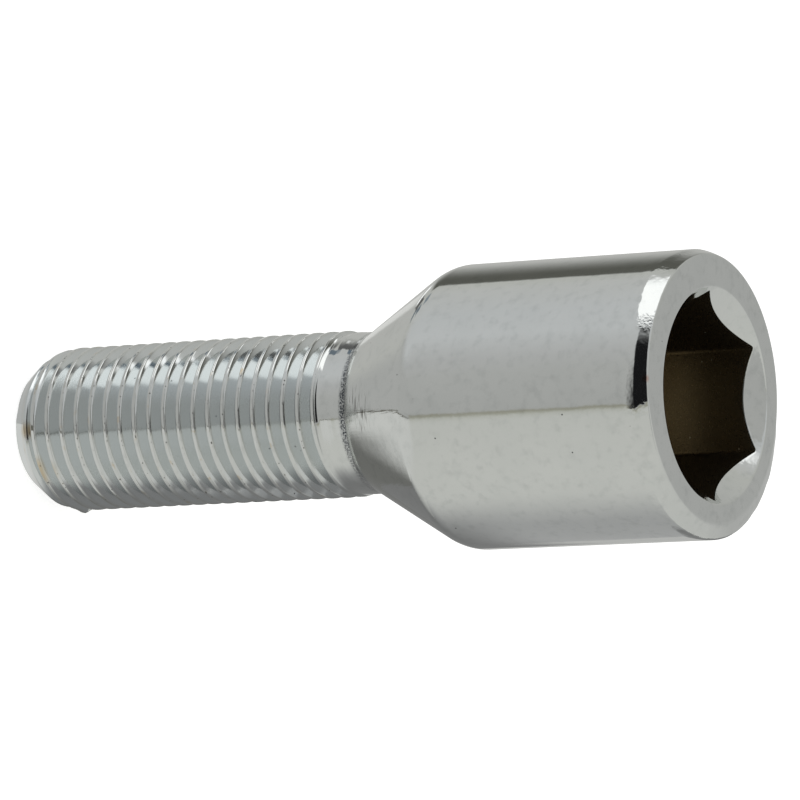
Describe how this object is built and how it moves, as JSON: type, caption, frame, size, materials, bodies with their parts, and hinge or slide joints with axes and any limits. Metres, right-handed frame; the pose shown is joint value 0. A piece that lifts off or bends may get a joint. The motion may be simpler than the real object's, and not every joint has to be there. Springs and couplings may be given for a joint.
{
  "type": "wheel bolt",
  "caption": "Long slim wheel bolt: a tall round head with a hexagon socket in its face, a conical seat and a fine threaded shank.",
  "frame": {"origin": "centre of the flat end of the thread", "axes": "+Z along the bolt's axis, from the threaded end to the head's face; two flats of the socket face along Y"},
  "size_m": [0.02, 0.02, 0.055],
  "materials": {
    "chrome_plate": "bright chrome plating over forged and thread-rolled steel"
  },
  "bodies": {
    "root": {"wheel_bolt": "chrome_plate"}
  },
  "joints": []
}
